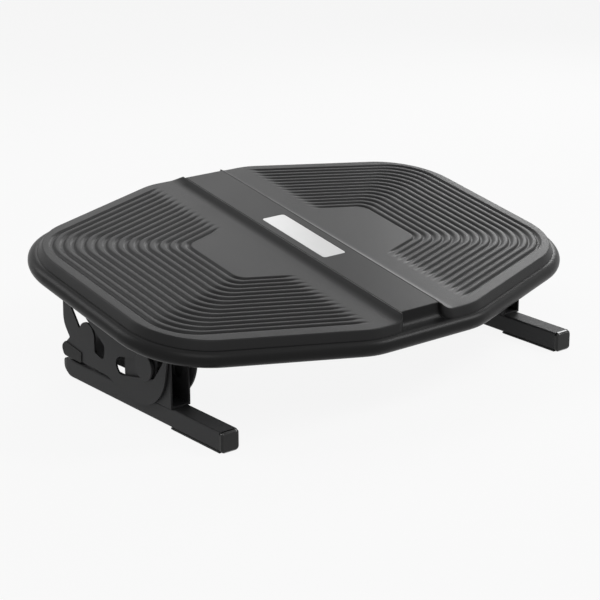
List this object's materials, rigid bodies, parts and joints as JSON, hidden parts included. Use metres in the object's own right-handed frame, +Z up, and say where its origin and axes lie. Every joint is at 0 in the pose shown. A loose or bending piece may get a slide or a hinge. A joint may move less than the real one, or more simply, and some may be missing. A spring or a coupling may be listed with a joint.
{
  "type": "footrest",
  "caption": "Tilting under-desk footrest: eight-sided grooved platform with a raised centre strip, on pivoting steel side plates over two floor rails.",
  "frame": {"origin": "floor under the middle of the platform's rim", "axes": "+X to the right across the width, +Y to the back (raised) edge, +Z up"},
  "size_m": [0.53, 0.3824, 0.1554],
  "materials": {
    "rim_plastic": "satin",
    "tread_plastic": "satin",
    "badge_metal": "brushed",
    "frame_steel": "matt",
    "pivot_cover": "matt",
    "zinc_steel": "satin",
    "cap_plastic": "gloss",
    "nylon": "matt",
    "foot_rubber": "matt"
  },
  "bodies": {
    "base": {"left_post": "frame_steel", "left_rail": "frame_steel", "left_front_cap": "cap_plastic", "left_rear_cap": "cap_plastic", "left_front_foot": "foot_rubber", "left_rear_foot": "foot_rubber", "left_pivot_bushing": "nylon", "left_outer_friction_washer": "nylon", "left_inner_friction_washer": "nylon", "left_tube_plug": "cap_plastic", "right_post": "frame_steel", "right_rail": "frame_steel", "right_front_cap": "cap_plastic", "right_rear_cap": "cap_plastic", "right_front_foot": "foot_rubber", "right_rear_foot": "foot_rubber", "right_pivot_bushing": "nylon", "right_outer_friction_washer": "nylon", "right_inner_friction_washer": "nylon", "right_tube_plug": "cap_plastic", "cross_tube": "frame_steel"},
    "platform": {"deck": "rim_plastic", "left_tread_pad": "tread_plastic", "right_tread_pad": "tread_plastic", "centre_strip": "tread_plastic", "badge_plate": "badge_metal", "left_saddle": "frame_steel", "right_saddle": "frame_steel", "left_heel_buffer": "foot_rubber", "right_heel_buffer": "foot_rubber", "saddle_screws": "zinc_steel", "cover_screws": "zinc_steel", "left_pivot_bolt": "pivot_cover", "left_pivot_nut": "zinc_steel", "left_disc_springs": "zinc_steel", "right_pivot_bolt": "pivot_cover", "right_pivot_nut": "zinc_steel", "right_disc_springs": "zinc_steel"}
  },
  "joints": [
    {"name": "platform_tilt", "type": "hinge", "parent": "base", "child": "platform", "pos_m": [0, -0.04768, 0.052], "axis": [1, 0, 0], "range_deg": [-10, 10]}
  ]
}
